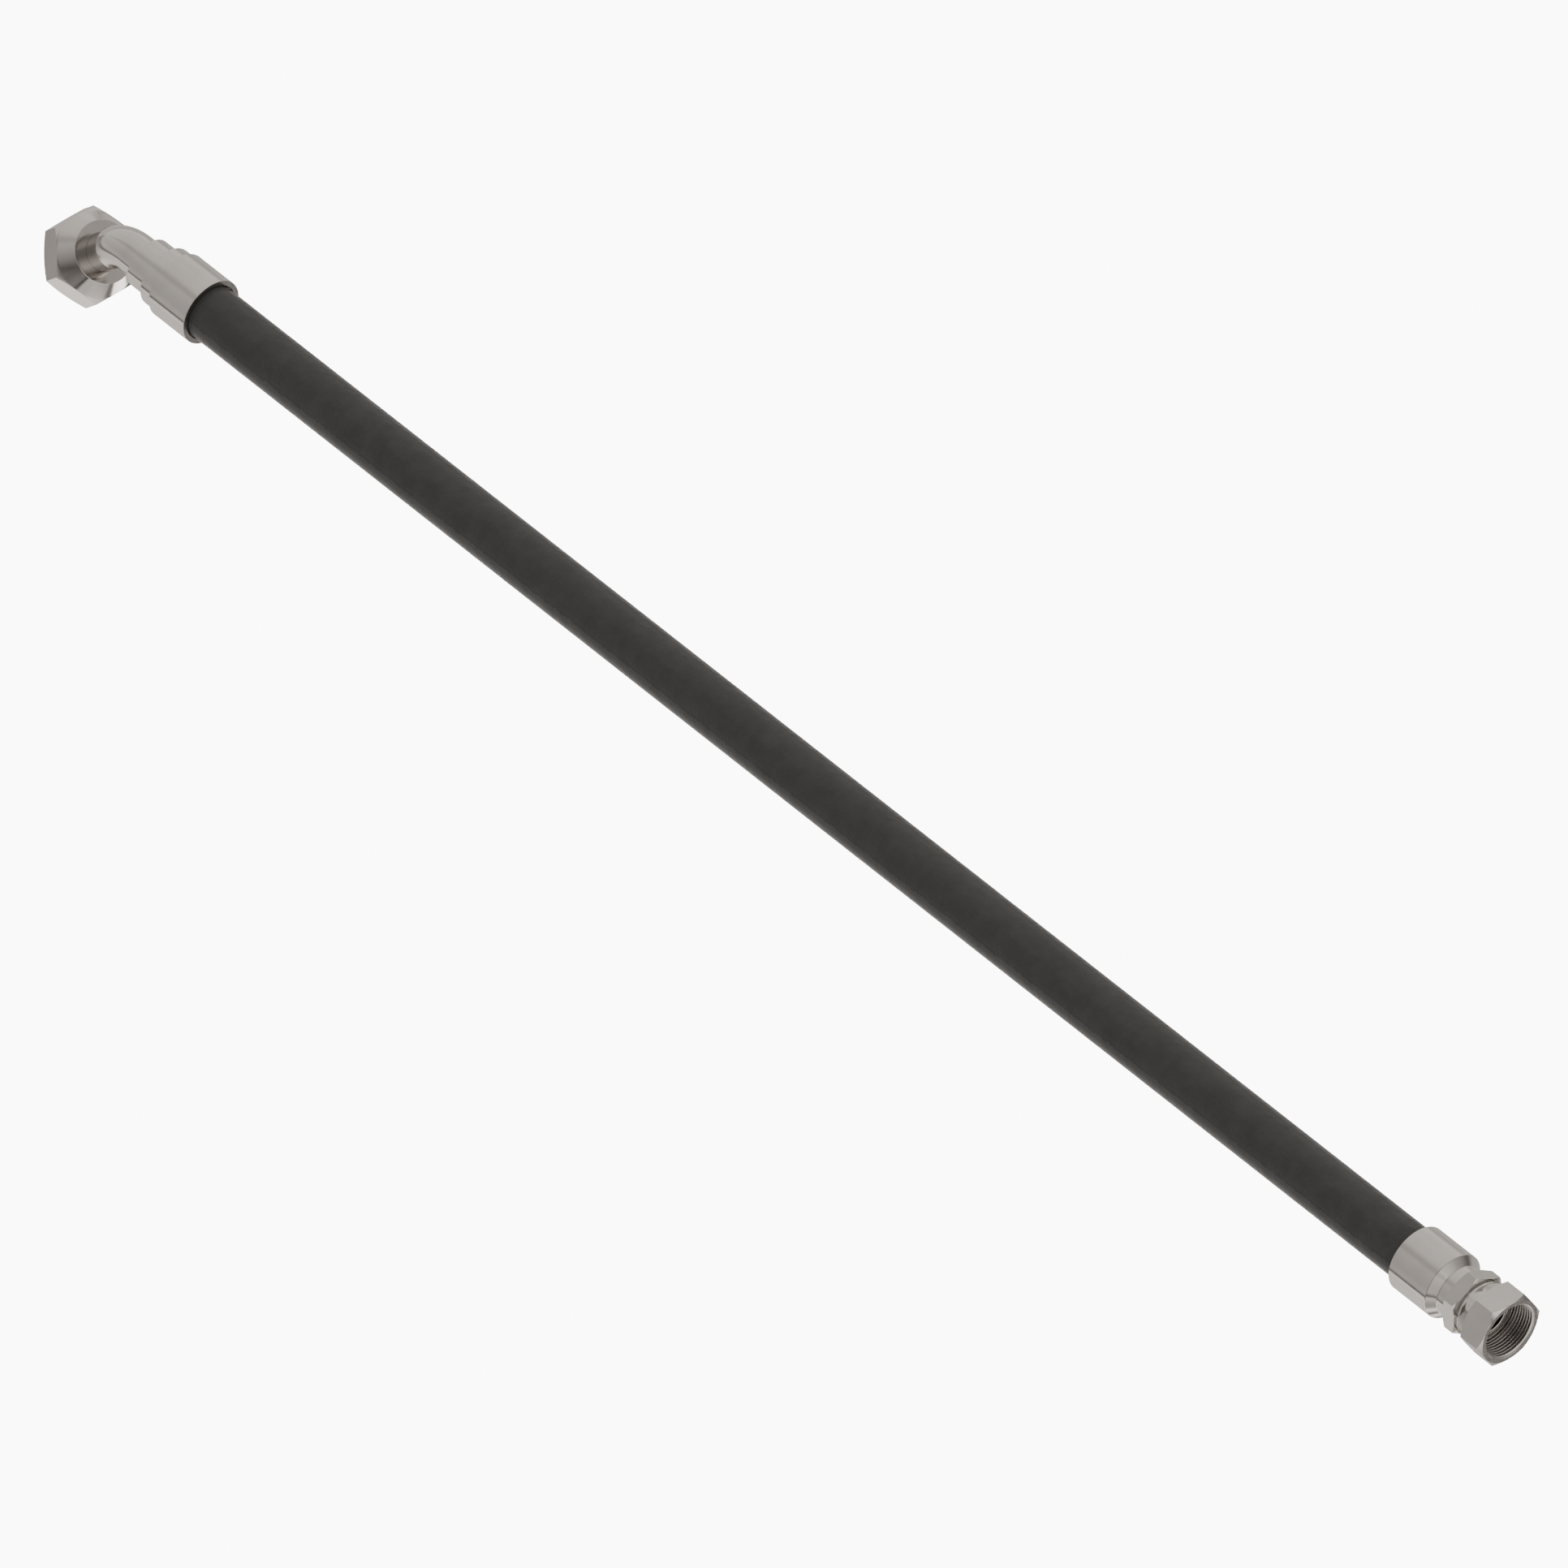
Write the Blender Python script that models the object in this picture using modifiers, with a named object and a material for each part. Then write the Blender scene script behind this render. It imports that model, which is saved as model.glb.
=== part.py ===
"""Hydraulic hose with a straight swivel nut at one end and a 45 degree swivel elbow at the other.

The hose is built along its own X axis, with X = 0 at the mouth of the elbow's ferrule and the
straight end at +X. A parent empty then lays the whole assembly on its side on the floor, where
it rests on a corner of each swivel nut. All sizes are in metres.
"""
import math

import bmesh
import bpy
from mathutils import Matrix

# Clearances between pieces that touch or turn on each other
FIT_GAP = 0.0003
HEAD_GAP = 0.0005

# Hose: outer diameter, bore, and the length seen between the two ferrule mouths
HOSE_OUTER = 0.0340
HOSE_BORE = 0.0254
HOSE_VISIBLE = 1.0318

# Nipples of both stems, which slip into the hose bore and stop short of the ferrule mouths
NIPPLE_INSET = 0.0012
STRAIGHT_BORE = 0.0212
ELBOW_BORE = 0.0190

# Crimped ferrules, measured outwards from their mouths
FERRULE_OUTER = 0.0417
FERRULE_MOUTH_BORE = 0.0353
MOUTH_RELIEF = 0.0030
FERRULE_END_WALL = 0.0024
ELBOW_FERRULE_BODY = 0.0301
ELBOW_FERRULE_STEP_OUTER = 0.0379
ELBOW_FERRULE_STEP_LENGTH = 0.0096
ELBOW_FERRULE_NECK_OUTER = 0.0317
ELBOW_FERRULE_NECK_LENGTH = 0.0149
STRAIGHT_FERRULE_BODY = 0.0306
STRAIGHT_FERRULE_NOSE_LENGTH = 0.0046
STRAIGHT_FERRULE_NECK_OUTER = 0.0322
STRAIGHT_FERRULE_NECK_LENGTH = 0.0068

# Elbow: a tube a little thicker than its nipple, bent, then a thinner neck for the swivel nut
BEND_ANGLE = math.radians(45)
BEND_RADIUS = 0.0280
TUBE_SHOULDER = 0.0003
TUBE_BEFORE_BEND = 0.0090
ELBOW_NECK_STEP = 0.0011
ELBOW_NECK_LENGTH = 0.0139

# Both swivel nuts: thread pitch, thread depth over pitch, and wall from thread to flats
THREAD_PITCH = 0.0020
THREAD_DEPTH_PER_PITCH = 0.5413
NUT_WALL = 0.0025

# Elbow swivel nut, M45 x 2 thread, measured along its axis from its rear end
ELBOW_NUT_FLATS = 0.0500
ELBOW_NUT_COLLAR_OUTER = 0.0372
ELBOW_NUT_COLLAR_LENGTH = 0.0004
ELBOW_NUT_CONE_LENGTH = 0.0093
ELBOW_NUT_CORNER_LENGTH = 0.0123
ELBOW_NUT_SEAT_DEPTH = 0.0105

# Straight swivel nut, M36 x 2 thread, measured along its axis from its rear end
STRAIGHT_NUT_FLATS = 0.0410
STRAIGHT_NUT_COLLAR_OUTER = 0.0350
STRAIGHT_NUT_COLLAR_LENGTH = 0.0016
STRAIGHT_NUT_CONE_LENGTH = 0.0063
STRAIGHT_NUT_CORNER_LENGTH = 0.0137
STRAIGHT_NUT_SEAT_DEPTH = 0.0046

# Hex chamfers fall at this angle from the end faces, and each thread mouth has a small bevel
CHAMFER_ANGLE = math.radians(30)
MOUTH_BEVEL = 0.0013

# Stem hexagon of the straight end, the gap behind its nut, and the neck that the nut turns on
STEM_HEX_FLATS = 0.0360
STEM_HEX_LENGTH = 0.0098
STEM_HEX_TO_NUT = 0.0018
STEM_NECK_OUTER = 0.0274

# Sealing head of both stems inside the nuts: a flange and a 24 degree cone
FLANGE_LENGTH = 0.0022
NOSE_LENGTH = 0.0022
NOSE_STEP = 0.0012
NOSE_HALF_ANGLE = math.radians(12)
CUT_OVERRUN = 0.0050

# Facets of the round shapes, the hexagons' half side angle, and the merging of doubled points
ROUND_SIDES = 48
BEND_STEPS = 12
SMOOTH_ANGLE = math.radians(28)
HEX_SIDES = 6
HEX_HALF_ANGLE = math.pi / HEX_SIDES
MERGE_DISTANCE = 0.00001
EMPTY_SIZE = 0.0300

# Colour, roughness and metallic value of both materials
RUBBER_LOOK = ((0.045, 0.044, 0.041), 0.55, 0.0)
STEEL_LOOK = ((0.42, 0.40, 0.37), 0.38, 1.0)

# Worked-out sizes
hose_radius = HOSE_OUTER / 2
nipple_radius = HOSE_BORE / 2 - FIT_GAP
tube_radius = nipple_radius + TUBE_SHOULDER
elbow_neck_radius = tube_radius - ELBOW_NECK_STEP
straight_neck_radius = STEM_NECK_OUTER / 2
ferrule_radius = FERRULE_OUTER / 2
grip_radius = hose_radius + FIT_GAP
thread_depth = THREAD_PITCH * THREAD_DEPTH_PER_PITCH
elbow_nut_thread = ELBOW_NUT_FLATS - 2 * NUT_WALL
straight_nut_thread = STRAIGHT_NUT_FLATS - 2 * NUT_WALL

elbow_grip_length = ELBOW_FERRULE_BODY + ELBOW_FERRULE_STEP_LENGTH - FERRULE_END_WALL
straight_grip_length = STRAIGHT_FERRULE_BODY + (ferrule_radius - grip_radius) - FERRULE_END_WALL
elbow_ferrule_length = (ELBOW_FERRULE_BODY + ELBOW_FERRULE_STEP_LENGTH
                        + ELBOW_FERRULE_NECK_LENGTH)
straight_ferrule_length = (STRAIGHT_FERRULE_BODY + STRAIGHT_FERRULE_NOSE_LENGTH
                           + STRAIGHT_FERRULE_NECK_LENGTH)

bend_tangent = BEND_RADIUS * math.tan(BEND_ANGLE / 2)
bend_start = elbow_ferrule_length + TUBE_BEFORE_BEND
corner_distance = bend_start + bend_tangent
elbow_nut_start = bend_tangent + ELBOW_NECK_LENGTH
stem_hex_start = straight_ferrule_length + FIT_GAP
straight_nut_start = stem_hex_start + STEM_HEX_LENGTH + STEM_HEX_TO_NUT


def corner_radius(flats):
    """Distance from the axis to a corner of a hexagon of this size across its flats."""
    return flats / 2 / math.cos(HEX_HALF_ANGLE)


def chamfer_length(flats):
    """Length along the axis of the chamfer from the inscribed circle out to the corners."""
    return (corner_radius(flats) - flats / 2) * math.tan(CHAMFER_ANGLE)


def nut_rear_corner(collar_length, cone_length, flats):
    """Distance from a nut's rear end to where its six corner edges start."""
    return collar_length + cone_length + chamfer_length(flats)


elbow_rear_corner = nut_rear_corner(ELBOW_NUT_COLLAR_LENGTH, ELBOW_NUT_CONE_LENGTH,
                                    ELBOW_NUT_FLATS)

# The assembly lies with a corner edge of each nut on the floor: the elbow rises by this angle
corner_drop = corner_radius(ELBOW_NUT_FLATS) - corner_radius(STRAIGHT_NUT_FLATS)
corner_reach = (elbow_nut_start + elbow_rear_corner) * math.sin(BEND_ANGLE)
elbow_rise = math.atan(corner_drop / corner_reach)


def clear_scene():
    """Remove every object of the open scene."""
    for obj in list(bpy.data.objects):
        bpy.data.objects.remove(obj, do_unlink=True)


def make_collection(name):
    """Add a collection to the scene."""
    collection = bpy.data.collections.new(name)
    bpy.context.scene.collection.children.link(collection)
    return collection


def make_material(name, colour, roughness, metallic):
    """A Principled material with one colour."""
    material = bpy.data.materials.new(name)
    material.use_nodes = True
    shader = material.node_tree.nodes["Principled BSDF"]
    shader.inputs["Base Color"].default_value = (*colour, 1.0)
    shader.inputs["Roughness"].default_value = roughness
    shader.inputs["Metallic"].default_value = metallic
    return material


def make_object(name, mesh, collection):
    """Link a mesh to a collection under this name."""
    obj = bpy.data.objects.new(name, mesh)
    collection.objects.link(obj)
    return obj


def make_cutter(obj):
    """Mark an object as a Boolean tool that isn't part of the model."""
    obj.hide_render = True
    obj.display_type = 'WIRE'
    return obj


def turned(name, outer, inner, collection):
    """A turned piece about Z. outer and inner are (z, radius) points that run upwards.

    Without inner points the piece is solid, and its profile ends on the axis.
    """
    loop = [(radius, z) for z, radius in reversed(outer)]
    if inner:
        loop += [(radius, z) for z, radius in inner]
    else:
        loop = [(0.0, loop[0][1])] + loop + [(0.0, loop[-1][1])]
    mesh = bpy.data.meshes.new(name)
    shape = bmesh.new()
    verts = [shape.verts.new((radius, 0.0, z)) for radius, z in loop]
    for start, end in zip(verts, verts[1:]):
        shape.edges.new((start, end))
    if inner:
        shape.edges.new((verts[-1], verts[0]))
    shape.to_mesh(mesh)
    shape.free()
    obj = make_object(name, mesh, collection)
    screw = obj.modifiers.new("turn", 'SCREW')
    screw.steps = ROUND_SIDES
    screw.render_steps = ROUND_SIDES
    screw.use_merge_vertices = True
    screw.merge_threshold = MERGE_DISTANCE
    return obj


def hexagon_bar(name, flats, start, end, turn, collection):
    """A solid hexagonal bar along Z, with corners on Y when it isn't turned."""
    mesh = bpy.data.meshes.new(name)
    shape = bmesh.new()
    bmesh.ops.create_cone(shape, cap_ends=True, segments=HEX_SIDES,
                          radius1=corner_radius(flats), radius2=corner_radius(flats),
                          depth=end - start)
    bmesh.ops.rotate(shape, verts=shape.verts, matrix=Matrix.Rotation(turn, 3, 'Z'))
    bmesh.ops.translate(shape, verts=shape.verts, vec=(0.0, 0.0, (start + end) / 2))
    shape.to_mesh(mesh)
    shape.free()
    return make_cutter(make_object(name, mesh, collection))


def combine(obj, tool, operation):
    """Add a Boolean modifier that joins, cuts or trims with this tool."""
    step = obj.modifiers.new(tool.name, 'BOOLEAN')
    step.operation = operation
    step.solver = 'EXACT'
    step.object = tool


def bake(obj):
    """Turn the modifier stack into the object's mesh and shade it."""
    graph = bpy.context.evaluated_depsgraph_get()
    mesh = bpy.data.meshes.new_from_object(obj.evaluated_get(graph))
    mesh.name = obj.name
    obj.modifiers.clear()
    obj.data = mesh
    mesh.shade_smooth()
    mesh.set_sharp_from_angle(angle=SMOOTH_ANGLE)


def elbow_path(start, tail):
    """Centre line of the elbow tube, from this X to a tail beyond the end of the bend."""
    points = [(start, 0.0, 0.0)]
    for step in range(BEND_STEPS + 1):
        angle = BEND_ANGLE * step / BEND_STEPS
        points.append((-bend_start - BEND_RADIUS * math.sin(angle), 0.0,
                       -BEND_RADIUS * (1.0 - math.cos(angle))))
    if tail:
        end = points[-1]
        points.append((end[0] - tail * math.cos(BEND_ANGLE), 0.0,
                       end[2] - tail * math.sin(BEND_ANGLE)))
    return points


def tube_along(name, points, radius, collection):
    """A solid round rod along points, made from a bevelled curve."""
    curve = bpy.data.curves.new(name + "_path", 'CURVE')
    curve.dimensions = '3D'
    spline = curve.splines.new('POLY')
    spline.points.add(len(points) - 1)
    for point, place in zip(spline.points, points):
        point.co = (*place, 1.0)
    curve.bevel_depth = radius
    curve.bevel_resolution = ROUND_SIDES // 2 - 2
    curve.use_fill_caps = True
    guide = make_object(name + "_path", curve, collection)
    graph = bpy.context.evaluated_depsgraph_get()
    mesh = bpy.data.meshes.new_from_object(guide.evaluated_get(graph))
    shape = bmesh.new()
    shape.from_mesh(mesh)
    bmesh.ops.remove_doubles(shape, verts=shape.verts, dist=MERGE_DISTANCE)
    shape.to_mesh(mesh)
    shape.free()
    obj = make_object(name, mesh, collection)
    obj.matrix_world = guide.matrix_world
    bpy.data.objects.remove(guide, do_unlink=True)
    return obj


def make_hose(parent, material, parts):
    """The rubber hose, pushed into both ferrules up to their end walls."""
    start = -(elbow_grip_length - FIT_GAP)
    end = HOSE_VISIBLE + straight_grip_length - FIT_GAP
    length = end - start
    hose = turned("hose", [(0.0, hose_radius), (length, hose_radius)],
                  [(0.0, HOSE_BORE / 2), (length, HOSE_BORE / 2)], parts)
    hose.location = (start, 0.0, 0.0)
    hose.rotation_euler = (0.0, math.pi / 2, 0.0)
    finish_piece(hose, parent, material)


def ferrule_bore(grip_length, length, stem_radius):
    """Inner profile of a ferrule: mouth relief, grip on the hose, end wall, neck."""
    mouth_radius = FERRULE_MOUTH_BORE / 2
    neck_bore_radius = stem_radius + FIT_GAP
    return [(0.0, mouth_radius), (MOUTH_RELIEF, mouth_radius),
            (MOUTH_RELIEF + (mouth_radius - grip_radius), grip_radius),
            (grip_length, grip_radius), (grip_length, neck_bore_radius),
            (length, neck_bore_radius)]


def make_elbow_ferrule(parent, material, parts):
    """The stepped ferrule of the elbow end."""
    step_start = ELBOW_FERRULE_BODY
    neck_start = step_start + ELBOW_FERRULE_STEP_LENGTH
    step_radius = ELBOW_FERRULE_STEP_OUTER / 2
    neck_radius = ELBOW_FERRULE_NECK_OUTER / 2
    outer = [(0.0, ferrule_radius), (step_start, ferrule_radius),
             (step_start, step_radius), (neck_start, step_radius),
             (neck_start, neck_radius), (elbow_ferrule_length, neck_radius)]
    ferrule = turned("elbow_ferrule", outer,
                     ferrule_bore(elbow_grip_length, elbow_ferrule_length, tube_radius), parts)
    ferrule.rotation_euler = (0.0, -math.pi / 2, 0.0)
    finish_piece(ferrule, parent, material)


def make_straight_ferrule(parent, material, parts):
    """The ferrule of the straight end, with a sloping nose and a short neck."""
    nose_end = STRAIGHT_FERRULE_BODY + STRAIGHT_FERRULE_NOSE_LENGTH
    neck_radius = STRAIGHT_FERRULE_NECK_OUTER / 2
    outer = [(0.0, ferrule_radius), (STRAIGHT_FERRULE_BODY, ferrule_radius),
             (nose_end, neck_radius), (straight_ferrule_length, neck_radius)]
    ferrule = turned("straight_ferrule", outer,
                     ferrule_bore(straight_grip_length, straight_ferrule_length,
                                  nipple_radius), parts)
    finish_piece(ferrule, parent, material)


def head_profile(seat, thread):
    """Outer profile of a stem's sealing head, behind a nut's seat at this distance."""
    flange_radius = thread / 2 - thread_depth - HEAD_GAP
    nose_radius = flange_radius - NOSE_STEP
    tip_radius = nose_radius - NOSE_LENGTH * math.tan(NOSE_HALF_ANGLE)
    back = seat + FIT_GAP
    front = back + FLANGE_LENGTH
    return [(back, flange_radius), (front, flange_radius), (front, nose_radius),
            (front + NOSE_LENGTH, tip_radius)]


def make_elbow_stem(parent, outlet, material, parts, tools):
    """The elbow's nipple, bent tube, neck and sealing head, one piece with its bore."""
    nipple = turned("elbow_nipple", [(NIPPLE_INSET, nipple_radius),
                                     (elbow_ferrule_length, nipple_radius)], [], tools)
    nipple.rotation_euler = (0.0, -math.pi / 2, 0.0)
    head = head_profile(elbow_nut_start + ELBOW_NUT_SEAT_DEPTH, elbow_nut_thread)
    neck = turned("elbow_neck", [(bend_tangent / 2, elbow_neck_radius),
                                 (head[0][0], elbow_neck_radius)] + head, [], tools)
    neck.matrix_world = outlet
    stem = tube_along("elbow_stem", elbow_path(-elbow_grip_length, 0.0), tube_radius, parts)
    bore_tail = head[-1][0] - bend_tangent + CUT_OVERRUN
    bore = tube_along("elbow_bore", elbow_path(CUT_OVERRUN, bore_tail), ELBOW_BORE / 2, tools)
    combine(stem, make_cutter(nipple), 'UNION')
    combine(stem, make_cutter(neck), 'UNION')
    combine(stem, make_cutter(bore), 'DIFFERENCE')
    finish_piece(stem, parent, material)


def make_straight_stem(parent, material, parts, tools):
    """The straight nipple, its hexagon, the neck that the nut turns on, and the head."""
    hex_end = stem_hex_start + STEM_HEX_LENGTH
    chamfer = chamfer_length(STEM_HEX_FLATS)
    flat_radius = STEM_HEX_FLATS / 2
    edge_radius = corner_radius(STEM_HEX_FLATS)
    overrun = chamfer / (edge_radius - flat_radius) * HEAD_GAP
    collar = turned("stem_hexagon", [
        (stem_hex_start, flat_radius),
        (stem_hex_start + chamfer + overrun, edge_radius + HEAD_GAP),
        (hex_end - chamfer - overrun, edge_radius + HEAD_GAP),
        (hex_end, flat_radius)], [], tools)
    combine(collar, hexagon_bar("stem_hexagon_bar", STEM_HEX_FLATS,
                                stem_hex_start - CUT_OVERRUN, hex_end + CUT_OVERRUN,
                                HEX_HALF_ANGLE, tools), 'INTERSECT')
    mid_hex = stem_hex_start + STEM_HEX_LENGTH / 2
    head = head_profile(straight_nut_start + STRAIGHT_NUT_SEAT_DEPTH, straight_nut_thread)
    outer = [(NIPPLE_INSET, nipple_radius), (mid_hex, nipple_radius),
             (mid_hex, straight_neck_radius), (head[0][0], straight_neck_radius)] + head
    stem = turned("straight_stem", outer, [], parts)
    bore = turned("straight_bore", [(-CUT_OVERRUN, STRAIGHT_BORE / 2),
                                    (head[-1][0] + CUT_OVERRUN, STRAIGHT_BORE / 2)], [], tools)
    combine(stem, make_cutter(collar), 'UNION')
    combine(stem, make_cutter(bore), 'DIFFERENCE')
    finish_piece(stem, parent, material)


def make_nut(name, flats, thread, collar_outer, collar_length, cone_length, corner_length,
             seat_depth, hole_radius, parts, tools):
    """A swivel nut along Z: rear collar and cone, hexagon, thread bore and inner seat."""
    flat_radius = flats / 2
    edge_radius = corner_radius(flats)
    chamfer = chamfer_length(flats)
    rear_corner = nut_rear_corner(collar_length, cone_length, flats)
    front_corner = rear_corner + corner_length
    front = front_corner + chamfer
    overrun = chamfer / (edge_radius - flat_radius) * HEAD_GAP
    outer = [(0.0, collar_outer / 2), (collar_length, collar_outer / 2),
             (collar_length + cone_length, flat_radius),
             (rear_corner + overrun, edge_radius + HEAD_GAP),
             (front_corner - overrun, edge_radius + HEAD_GAP), (front, flat_radius)]
    core_radius = thread / 2 - thread_depth
    inner = [(0.0, hole_radius), (seat_depth, hole_radius), (seat_depth, core_radius),
             (front - MOUTH_BEVEL, core_radius), (front, core_radius + MOUTH_BEVEL)]
    nut = turned(name, outer, inner, parts)
    combine(nut, hexagon_bar(name + "_bar", flats, -CUT_OVERRUN, front + CUT_OVERRUN, 0.0,
                             tools), 'INTERSECT')
    return nut


def finish_piece(obj, parent, material):
    """Bake a piece, give it its material and hang it on its parent."""
    bpy.context.view_layer.update()
    bake(obj)
    obj.data.materials.clear()
    obj.data.materials.append(material)
    obj.parent = parent


def add_empty(name, parent, matrix, parts):
    """An empty that carries pieces. Its matrix is given in its parent's frame."""
    empty = bpy.data.objects.new(name, None)
    empty.empty_display_size = EMPTY_SIZE
    parts.objects.link(empty)
    empty.parent = parent
    empty.matrix_local = matrix
    return empty


def build():
    """Make every piece, then lay the assembly on the floor about its own origin."""
    clear_scene()
    parts = make_collection("hydraulic_hose")
    tools = make_collection("cutters")
    rubber = make_material("black_rubber", *RUBBER_LOOK)
    steel = make_material("plated_steel", *STEEL_LOOK)

    outlet = (Matrix.Translation((-corner_distance, 0.0, 0.0))
              @ Matrix.Rotation(-(math.pi / 2 + BEND_ANGLE), 4, 'Y'))
    straight = (Matrix.Translation((HOSE_VISIBLE, 0.0, 0.0))
                @ Matrix.Rotation(math.pi / 2, 4, 'Y'))
    lying = add_empty("lying_on_its_side", None, Matrix.Identity(4), parts)
    elbow_axis = add_empty("elbow_nut_axis", lying,
                           outlet @ Matrix.Translation((0.0, 0.0, elbow_nut_start)), parts)
    straight_end = add_empty("straight_end", lying, straight, parts)
    straight_axis = add_empty("straight_nut_axis", straight_end,
                              Matrix.Translation((0.0, 0.0, straight_nut_start)), parts)

    make_hose(lying, rubber, parts)
    make_elbow_ferrule(lying, steel, parts)
    make_elbow_stem(lying, outlet, steel, parts, tools)
    make_straight_ferrule(straight_end, steel, parts)
    make_straight_stem(straight_end, steel, parts, tools)
    elbow_nut = make_nut("elbow_nut", ELBOW_NUT_FLATS, elbow_nut_thread,
                         ELBOW_NUT_COLLAR_OUTER, ELBOW_NUT_COLLAR_LENGTH,
                         ELBOW_NUT_CONE_LENGTH, ELBOW_NUT_CORNER_LENGTH,
                         ELBOW_NUT_SEAT_DEPTH, elbow_neck_radius + FIT_GAP, parts, tools)
    finish_piece(elbow_nut, elbow_axis, steel)
    straight_nut = make_nut("straight_nut", STRAIGHT_NUT_FLATS, straight_nut_thread,
                            STRAIGHT_NUT_COLLAR_OUTER, STRAIGHT_NUT_COLLAR_LENGTH,
                            STRAIGHT_NUT_CONE_LENGTH, STRAIGHT_NUT_CORNER_LENGTH,
                            STRAIGHT_NUT_SEAT_DEPTH, straight_neck_radius + FIT_GAP, parts,
                            tools)
    finish_piece(straight_nut, straight_axis, steel)

    lying.rotation_euler = (-(math.pi / 2 + elbow_rise), 0.0, 0.0)
    bpy.context.view_layer.update()
    centre_on_origin(lying, parts)


def centre_on_origin(lying, parts):
    """Move the assembly so that the middle of its box stands over the origin."""
    corners = [piece.matrix_world @ vert.co for piece in parts.objects if piece.type == 'MESH'
               for vert in piece.data.vertices]
    low = [min(point[axis] for point in corners) for axis in range(3)]
    high = [max(point[axis] for point in corners) for axis in range(3)]
    lying.location = (-(low[0] + high[0]) / 2, -(low[1] + high[1]) / 2, -low[2])
    bpy.context.view_layer.update()


build()
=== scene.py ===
"""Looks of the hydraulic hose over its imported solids. All sizes are in metres.

Each steel piece is a skin of rings about its own axis, with the solids' sizes plus small edge
radii, cut threads and turned details. The hose is a tube that follows the solids' straight line.
"""
import math

import bmesh
import bpy
from mathutils import Matrix, Vector


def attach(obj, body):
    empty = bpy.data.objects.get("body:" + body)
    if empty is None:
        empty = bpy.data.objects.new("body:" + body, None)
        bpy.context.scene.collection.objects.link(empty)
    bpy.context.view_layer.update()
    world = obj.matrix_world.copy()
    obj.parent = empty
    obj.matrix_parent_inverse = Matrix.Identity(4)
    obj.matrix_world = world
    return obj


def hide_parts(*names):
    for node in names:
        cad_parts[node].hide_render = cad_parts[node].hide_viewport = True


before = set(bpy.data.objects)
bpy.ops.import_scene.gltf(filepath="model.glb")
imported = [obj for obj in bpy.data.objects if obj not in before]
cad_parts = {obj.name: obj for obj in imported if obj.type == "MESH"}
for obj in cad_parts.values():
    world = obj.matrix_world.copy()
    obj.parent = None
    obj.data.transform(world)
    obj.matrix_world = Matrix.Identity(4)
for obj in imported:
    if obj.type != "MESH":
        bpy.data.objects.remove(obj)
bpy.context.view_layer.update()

# Sizes that the solids have too, measured along each fitting's axis. Only RUNNING_GAP, which the
# elbow nut has about its neck, and SHOULDER_RADIUS are finer than the solids.
FIT_GAP = 0.0003
HEAD_GAP = 0.0005
RUNNING_GAP = 0.00008
HOSE_RADIUS = 0.0170
HOSE_BORE_RADIUS = 0.0127
HOSE_VISIBLE = 1.0318
HOSE_HIDDEN = 0.0270
NIPPLE_INSET = 0.0012
NIPPLE_RADIUS = 0.0124
STRAIGHT_BORE_RADIUS = 0.0106
ELBOW_BORE_RADIUS = 0.0095
FERRULE_RADIUS = 0.02085
MOUTH_RADIUS = 0.01765
MOUTH_RELIEF = 0.0030
GRIP_RADIUS = 0.0173
ELBOW_BODY = 0.0301
ELBOW_STEP_RADIUS = 0.01895
ELBOW_STEP_END = 0.0397
ELBOW_SLEEVE_RADIUS = 0.01585
ELBOW_SLEEVE_END = 0.0546
STRAIGHT_BODY = 0.0306
STRAIGHT_NOSE_END = 0.0352
STRAIGHT_SLEEVE_RADIUS = 0.0161
STRAIGHT_SLEEVE_END = 0.0420
FERRULE_END_WALL = 0.0024
STRAIGHT_GRIP_END = 0.03175
BEND_ANGLE = math.radians(45)
BEND_RADIUS = 0.0280
BEND_START = 0.0636
TUBE_RADIUS = 0.0127
ELBOW_NECK_RADIUS = 0.0116
ELBOW_NECK_LENGTH = 0.0139
STRAIGHT_NECK_RADIUS = 0.0137
STEM_HEX_FLATS = 0.0360
STEM_HEX_START = 0.0423
STEM_HEX_END = 0.0521
STRAIGHT_NUT_START = 0.0539
SHOULDER_RADIUS = 0.0166
PITCH = 0.0020
THREAD_DEPTH = 0.0010826
HALF_CREST = 0.0625
FLANK = 0.3125
TURN_PARTS = (0.78125, 0.625, 0.375, 0.21875, 0.0625, -0.0625)
SPARE_TURNS = 3
CHAMFER_ANGLE = math.radians(30)
FLANGE_LENGTH = 0.0022
NOSE_LENGTH = 0.0022
NOSE_STEP = 0.0012
NOSE_ANGLE = math.radians(12)

# Flats, thread, collar radius and length, cone, corner length and seat of each swivel nut
ELBOW_NUT = (0.0500, 0.0450, 0.0186, 0.0004, 0.0093, 0.0123, 0.0105)
STRAIGHT_NUT = (0.0410, 0.0360, 0.0175, 0.0016, 0.0063, 0.0137, 0.0046)

# Small forms that only show up close: edges, the thread's mouth, and the groove in a stem's tip
EDGE_RADIUS = 0.0003
CORNER_ROUNDING = 0.0004
MOUTH_CHAMFER = 0.0002
MOUTH_SLOPE = 1.6
GROOVE_HALF_WIDTH = 0.0005
GROOVE_DEPTH = 0.0006
GROOVE_EDGE = 0.0002
BORE_CHAMFER = 0.0004
MERGE = 0.000002
SHARP_ANGLE = math.radians(27)
TURNED_SIDES = 144
TUBE_SIDES = 96
FLAT_STEPS = 14
BEND_STEPS = 32
HOSE_STEPS = 240
PATH_STRIDE = 8
FILLET_STEPS = 5
FILLET_SHARE = 0.45
STRAIGHT_COSINE = -0.995
AXIS_PLACE = "axis_place"

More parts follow.
